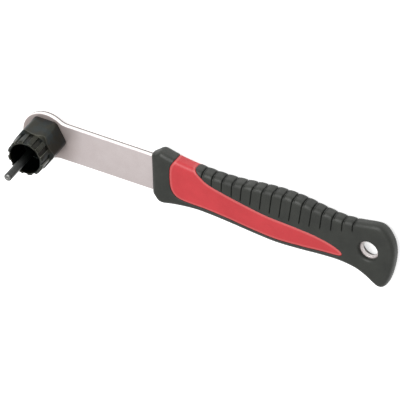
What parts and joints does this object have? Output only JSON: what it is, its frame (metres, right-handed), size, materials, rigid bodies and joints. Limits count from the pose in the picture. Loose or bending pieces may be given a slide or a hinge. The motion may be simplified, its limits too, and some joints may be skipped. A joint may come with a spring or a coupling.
{
  "type": "cassette lockring tool",
  "caption": "Bicycle cassette lockring tool: a splined socket with a guide pin on a flat steel arm, with a ribbed two-colour moulded handle and a hanging hole.",
  "frame": {"origin": "on the guide pin's axis, in the plane of the socket's mouth", "axes": "+Z out of the mouth along the guide pin; +X from the socket along the arm to the handle; +Y towards the handle's ribbed edge"},
  "size_m": [0.2483, 0.0456, 0.0548],
  "materials": {
    "plated_steel": "satin nickel plate with a fine grain",
    "black_oxide_steel": "black oxide, oiled, matt",
    "pin_steel": "dark hardened steel, semi-bright",
    "red_plastic": "semi-gloss moulded plastic",
    "black_rubber": "matt soft overmould"
  },
  "bodies": {
    "root": {"arm": "plated_steel", "splined_socket": "black_oxide_steel", "guide_pin": "pin_steel", "grip_core": "red_plastic", "grip_overmould": "black_rubber"}
  },
  "joints": []
}
